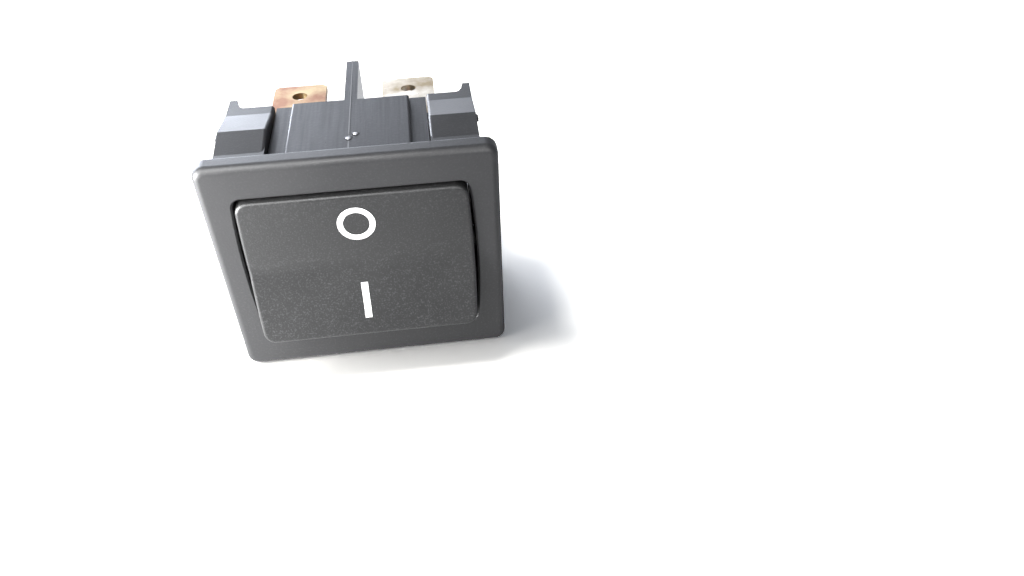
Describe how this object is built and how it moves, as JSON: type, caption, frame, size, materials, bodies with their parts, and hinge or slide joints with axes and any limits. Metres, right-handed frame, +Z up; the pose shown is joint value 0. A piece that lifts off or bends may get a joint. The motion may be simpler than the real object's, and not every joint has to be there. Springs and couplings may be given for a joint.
{
  "type": "rocker switch",
  "caption": "Snap-in rocker switch: tilting actuator in a rectangular bezel, rear blade terminals either side of a divider, sprung see-saw contacts inside.",
  "frame": {"origin": "centre of the bezel's rear face, where it seats on the panel", "axes": "+X to the right seen from the front, +Y back through the panel, +Z up, towards the O end"},
  "size_m": [0.031, 0.0285, 0.0272],
  "materials": {
    "black_nylon": "satin",
    "black_rocker": "fine grained",
    "terminal_brass": "stamped, satin",
    "terminal_copper": "stamped, satin",
    "contact_silver": "satin",
    "white_acetal": "smooth",
    "spring_steel": "drawn wire"
  },
  "bodies": {
    "body": {"housing": "black_nylon", "terminal_base": "black_nylon", "load_terminal_right": "terminal_brass", "common_terminal_right": "terminal_brass", "load_plate_right": "terminal_copper", "common_plate_right": "terminal_copper", "fixed_contact_right": "contact_silver", "load_terminal_left": "terminal_brass", "common_terminal_left": "terminal_brass", "load_plate_left": "terminal_copper", "common_plate_left": "terminal_copper", "fixed_contact_left": "contact_silver"},
    "rocker": {"rocker": "black_rocker", "spring_right": "spring_steel", "spring_left": "spring_steel"},
    "plunger_right": {"plunger_right": "white_acetal"},
    "plunger_left": {"plunger_left": "white_acetal"},
    "lever_right": {"contact_lever_right": "terminal_copper", "moving_contact_right": "contact_silver"},
    "lever_left": {"contact_lever_left": "terminal_copper", "moving_contact_left": "contact_silver"}
  },
  "joints": [
    {"name": "rocker_rock", "type": "hinge", "parent": "body", "child": "rocker", "pos_m": [0, 0.0014, 0], "axis": [1, 0, 0], "range_deg": [0, 17]},
    {"name": "plunger_slide_right", "type": "slide", "parent": "rocker", "child": "plunger_right", "axis": [0, 0.989, -0.1478], "range_m": [-0.0003, 0], "stiffness_N_per_m": 800},
    {"name": "lever_tilt_right", "type": "hinge", "parent": "body", "child": "lever_right", "pos_m": [0.0066, 0.0072, 0], "axis": [1, 0, 0], "range_deg": [-14, 0]},
    {"name": "plunger_slide_left", "type": "slide", "parent": "rocker", "child": "plunger_left", "axis": [0, 0.989, -0.1478], "range_m": [-0.0003, 0], "stiffness_N_per_m": 800},
    {"name": "lever_tilt_left", "type": "hinge", "parent": "body", "child": "lever_left", "pos_m": [-0.0066, 0.0072, 0], "axis": [1, 0, 0], "range_deg": [-14, 0]}
  ],
  "couplings": [
    {"joint": "lever_tilt_right", "follows": "rocker_rock", "ratio": -0.82353},
    {"joint": "lever_tilt_left", "follows": "rocker_rock", "ratio": -0.82353}
  ]
}
